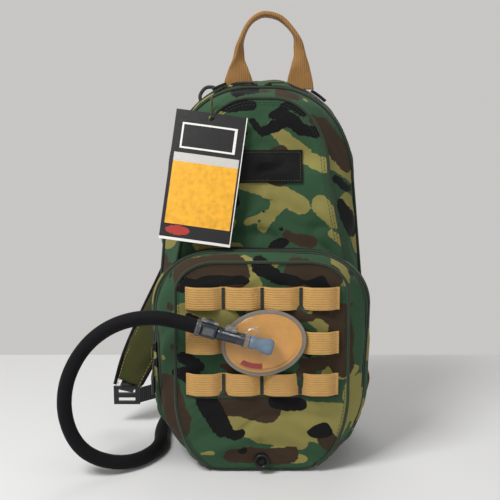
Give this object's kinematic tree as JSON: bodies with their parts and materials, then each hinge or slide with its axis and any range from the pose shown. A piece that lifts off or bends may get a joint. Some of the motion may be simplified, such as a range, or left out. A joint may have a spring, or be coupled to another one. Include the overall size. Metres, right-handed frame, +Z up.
{
  "type": "hydration pack",
  "caption": "Camouflage hydration pack with webbing field, lower pocket, padded straps, grab handle, sleeved drink tube, bite valve and hang tag.",
  "frame": {"origin": "on the floor under the base, in the middle of the width and 8 mm behind the main zip's rear edge plane at Y=8 mm", "axes": "+Z up along the pack's height, -Y out of the pocket face, +X to the right seen from the front"},
  "size_m": [0.3553, 0.2477, 0.522],
  "materials": {
    "camo_cloth": "woven, printed four-colour camouflage",
    "tan_webbing": "woven nylon webbing",
    "black_webbing": "woven nylon webbing and tape",
    "olive_cloth": "woven nylon over foam",
    "black_mesh": "spacer mesh",
    "black_plastic": "moulded acetal, fine grain",
    "zip_metal": "black painted zinc",
    "pull_cord": "braided nylon cord",
    "hose_sleeve": "neoprene tube sleeve",
    "clear_plastic": "clear moulded",
    "blue_silicone": "translucent moulded silicone",
    "bladder_film": "translucent welded film",
    "port_rubber": "moulded",
    "printed_card": "printed and laminated",
    "tag_cord": "elastic cord"
  },
  "bodies": {
    "pack_body": {"anchor_tabs": "black_webbing", "back_pads": "black_mesh", "back_panel": "black_mesh", "bar_tacks": "black_webbing", "bladder": "bladder_film", "boot_gusset": "camo_cloth", "boot_panel": "camo_cloth", "drain_eyelet": "zip_metal", "fill_collar": "black_plastic", "front_gusset": "camo_cloth", "front_panel": "camo_cloth", "handle_ends": "tan_webbing", "hanger_loop": "black_webbing", "hose": "hose_sleeve", "hose_port": "port_rubber", "inner_tube": "clear_plastic", "label_patch": "black_webbing", "lock_housing": "clear_plastic", "lower_webbing_left": "black_webbing", "lower_webbing_right": "black_webbing", "main_zip_tape": "black_webbing", "molle_row_bottom": "tan_webbing", "molle_row_middle": "tan_webbing", "molle_row_top": "tan_webbing", "outlet_fitting": "black_plastic", "pocket_front_gusset": "camo_cloth", "pocket_front_panel": "camo_cloth", "pocket_gusset": "camo_cloth", "pocket_zip_tape": "black_webbing", "rear_gusset": "camo_cloth", "side_loops": "tan_webbing", "sleeve_divider": "olive_cloth", "strap_yoke": "olive_cloth", "tag_loop": "tag_cord", "top_tabs": "black_webbing", "valve_barrel": "black_plastic", "valve_card": "printed_card", "valve_dome": "clear_plastic"},
    "fill_cap": {"fill_cap": "black_plastic"},
    "handle": {"grab_handle": "tan_webbing"},
    "main_slider_left": {"main_slider_left": "zip_metal"},
    "main_slider_right": {"main_slider_right": "zip_metal"},
    "main_pull_left": {"main_pull_left": "pull_cord"},
    "main_pull_right": {"main_pull_right": "pull_cord"},
    "pocket_slider_upper": {"pocket_slider_upper": "zip_metal"},
    "pocket_slider_lower": {"pocket_slider_lower": "zip_metal"},
    "pocket_pull_upper": {"pocket_pull_upper": "pull_cord"},
    "pocket_pull_lower": {"pocket_pull_lower": "pull_cord"},
    "left_strap": {"strap_left": "olive_cloth", "ladder_lock_left": "black_plastic"},
    "right_strap": {"strap_right": "olive_cloth", "ladder_lock_right": "black_plastic"},
    "sternum_left": {"sternum_webbing_left": "black_webbing", "sternum_buckle_male": "black_plastic"},
    "sternum_right": {"sternum_webbing_right": "black_webbing", "sternum_buckle_female": "black_plastic"},
    "lock_lever": {"lock_lever": "clear_plastic"},
    "valve_button": {"valve_button": "clear_plastic"},
    "bite_valve": {"bite_valve": "blue_silicone"},
    "hang_tag": {"hang_tag": "printed_card"}
  },
  "joints": [
    {"name": "fill_cap_turn", "type": "hinge", "parent": "pack_body", "child": "fill_cap", "pos_m": [0, 0.018, 0.286], "axis": [0, -1, 0], "range_deg": [-120, 0]},
    {"name": "handle_flop", "type": "hinge", "parent": "pack_body", "child": "handle", "pos_m": [0.01, 0.038, 0.468], "axis": [1, 0, 0], "range_deg": [-50, 50]},
    {"name": "main_slide_left", "type": "hinge", "parent": "pack_body", "child": "main_slider_left", "pos_m": [-0.00818, 0.002, 0.33121], "axis": [0, -1, 0], "range_deg": [0, 78]},
    {"name": "main_slide_right", "type": "hinge", "parent": "pack_body", "child": "main_slider_right", "pos_m": [0.00818, 0.002, 0.33121], "axis": [0, 1, 0], "range_deg": [0, 78]},
    {"name": "main_pull_lift_left", "type": "hinge", "parent": "main_slider_left", "child": "main_pull_left", "pos_m": [-0.0082, 0.002, 0.4367], "axis": [0, 1, 0], "range_deg": [0, 110]},
    {"name": "main_pull_lift_right", "type": "hinge", "parent": "main_slider_right", "child": "main_pull_right", "pos_m": [0.0082, 0.002, 0.4367], "axis": [0, -1, 0], "range_deg": [0, 110]},
    {"name": "pocket_slide_upper", "type": "slide", "parent": "pack_body", "child": "pocket_slider_upper", "axis": [-0.0459, 0, 0.9989], "range_m": [-0.004, 0.038]},
    {"name": "pocket_slide_lower", "type": "slide", "parent": "pack_body", "child": "pocket_slider_lower", "axis": [-0.0459, 0, 0.9989], "range_m": [-0.007, 0.002]},
    {"name": "pocket_pull_lift_upper", "type": "hinge", "parent": "pocket_slider_upper", "child": "pocket_pull_upper", "pos_m": [-0.12424, -0.07, 0.1362], "axis": [0, 1, 0], "range_deg": [0, 100]},
    {"name": "pocket_pull_lift_lower", "type": "hinge", "parent": "pocket_slider_lower", "child": "pocket_pull_lower", "pos_m": [-0.12341, -0.07, 0.1182], "axis": [0, 1, 0], "range_deg": [0, 100]},
    {"name": "left_strap_swing", "type": "hinge", "parent": "pack_body", "child": "left_strap", "pos_m": [-0.052, 0.0728, 0.404], "axis": [1, 0, 0], "range_deg": [0, 16], "deforming": ["lower_webbing_left"]},
    {"name": "right_strap_swing", "type": "hinge", "parent": "pack_body", "child": "right_strap", "pos_m": [0.052, 0.0728, 0.404], "axis": [1, 0, 0], "range_deg": [0, 16], "deforming": ["lower_webbing_right"]},
    {"name": "sternum_slide_left", "type": "slide", "parent": "left_strap", "child": "sternum_left", "axis": [-0.3511, 0, -0.9363], "range_m": [-0.008, 0.008]},
    {"name": "sternum_slide_right", "type": "slide", "parent": "right_strap", "child": "sternum_right", "axis": [0.1483, 0, -0.9889], "range_m": [-0.008, 0.008]},
    {"name": "lock_lever_turn", "type": "hinge", "parent": "pack_body", "child": "lock_lever", "pos_m": [-0.05495, -0.12, 0.17762], "axis": [0.2756, 0, 0.9613], "range_deg": [0, 90]},
    {"name": "valve_button_press", "type": "slide", "parent": "pack_body", "child": "valve_button", "axis": [-0.2756, 0, -0.9613], "range_m": [0, 0.002], "stiffness_N_per_m": 900, "springref_m": -0.002},
    {"name": "bite_valve_swivel", "type": "hinge", "parent": "pack_body", "child": "bite_valve", "pos_m": [-0.01032, -0.12, 0.15546], "axis": [0.9613, 0, -0.2756], "range_deg": [-45, 45]},
    {"name": "hang_tag_swing", "type": "hinge", "parent": "pack_body", "child": "hang_tag", "pos_m": [-0.056, -0.0475, 0.393], "axis": [1, 0, 0], "range_deg": [-40, 3]}
  ]
}
